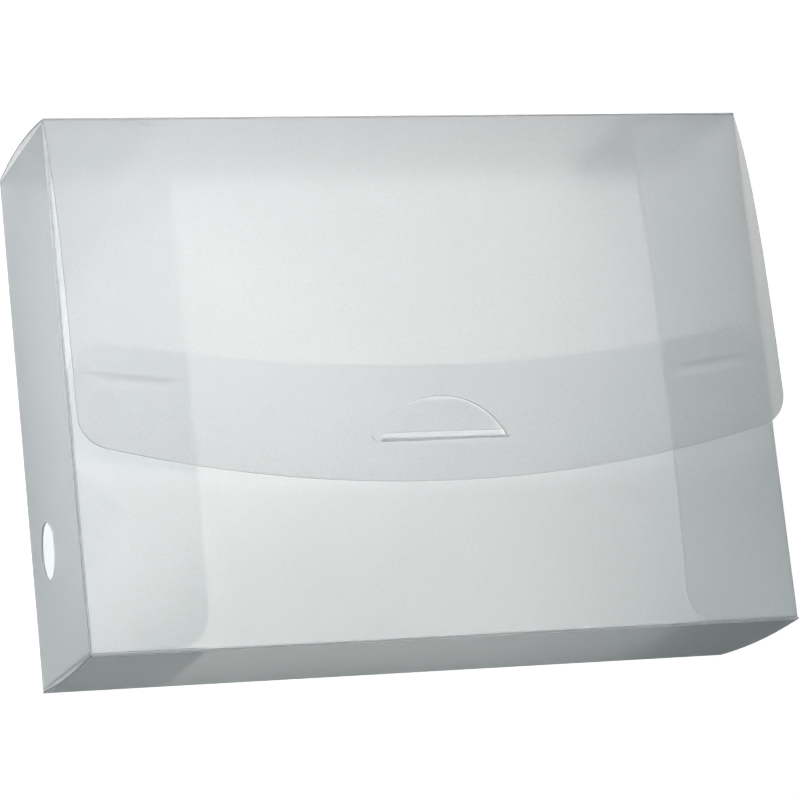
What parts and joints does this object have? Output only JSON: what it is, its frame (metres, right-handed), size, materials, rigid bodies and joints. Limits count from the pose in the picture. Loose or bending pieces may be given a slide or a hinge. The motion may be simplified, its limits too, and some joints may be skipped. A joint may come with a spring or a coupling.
{
  "type": "document box",
  "caption": "Frosted polypropylene document box folded from creased sheet, with a swelling lid flap, a half-moon tongue lock and a finger hole in its spine.",
  "frame": {"origin": "middle of the back panel's outer face, which lies on the table", "axes": "+Z out of the front, +Y from the bottom panel towards the lid crease, +X from the spine with the finger hole towards the plain side"},
  "size_m": [0.341, 0.249, 0.1103],
  "materials": {
    "frosted_sheet": "fine matte grain on translucent natural polypropylene sheet"
  },
  "bodies": {
    "box": {"back_panel": "frosted_sheet", "bottom_panel": "frosted_sheet", "front_panel": "frosted_sheet", "left_side_panel": "frosted_sheet", "right_side_panel": "frosted_sheet", "left_tuck_flap": "frosted_sheet", "right_tuck_flap": "frosted_sheet", "left_side_lock_tongue": "frosted_sheet", "right_side_lock_tongue": "frosted_sheet"},
    "lid_top": {"top_panel": "frosted_sheet"},
    "lid_flap": {"lid_flap": "frosted_sheet"},
    "lock_tongue": {"lock_tongue": "frosted_sheet"},
    "left_bottom_dust_flap": {"left_bottom_dust_flap": "frosted_sheet"},
    "right_bottom_dust_flap": {"right_bottom_dust_flap": "frosted_sheet"},
    "left_top_dust_flap": {"left_top_dust_flap": "frosted_sheet"},
    "right_top_dust_flap": {"right_top_dust_flap": "frosted_sheet"}
  },
  "joints": [
    {"name": "lid_top_hinge", "type": "hinge", "parent": "box", "child": "lid_top", "pos_m": [0, 0.12155, 0.00045], "axis": [-1, 0, 0], "range_deg": [0, 90]},
    {"name": "lid_flap_hinge", "type": "hinge", "parent": "lid_top", "child": "lid_flap", "pos_m": [0, 0.12155, 0.09455], "axis": [-1, 0, 0], "range_deg": [0, 75], "deforming": ["lock_tongue"]},
    {"name": "lock_tongue_fold", "type": "hinge", "parent": "lid_flap", "child": "lock_tongue", "pos_m": [0, -0.0344, 0.10937], "axis": [-1, 0, 0], "range_deg": [0, 50], "stiffness_Nm_per_rad": 0.01, "springref_deg": -20.05},
    {"name": "left_bottom_dust_hinge", "type": "hinge", "parent": "box", "child": "left_bottom_dust_flap", "pos_m": [-0.1666, -0.1199, 0.0475], "axis": [0, 0, 1], "range_deg": [0, 80]},
    {"name": "right_bottom_dust_hinge", "type": "hinge", "parent": "box", "child": "right_bottom_dust_flap", "pos_m": [0.1666, -0.1199, 0.0475], "axis": [0, 0, -1], "range_deg": [0, 80]},
    {"name": "left_top_dust_hinge", "type": "hinge", "parent": "box", "child": "left_top_dust_flap", "pos_m": [-0.1666, 0.1199, 0.0475], "axis": [0, 0, -1], "range_deg": [0, 80]},
    {"name": "right_top_dust_hinge", "type": "hinge", "parent": "box", "child": "right_top_dust_flap", "pos_m": [0.1666, 0.1199, 0.0475], "axis": [0, 0, 1], "range_deg": [0, 80]}
  ]
}
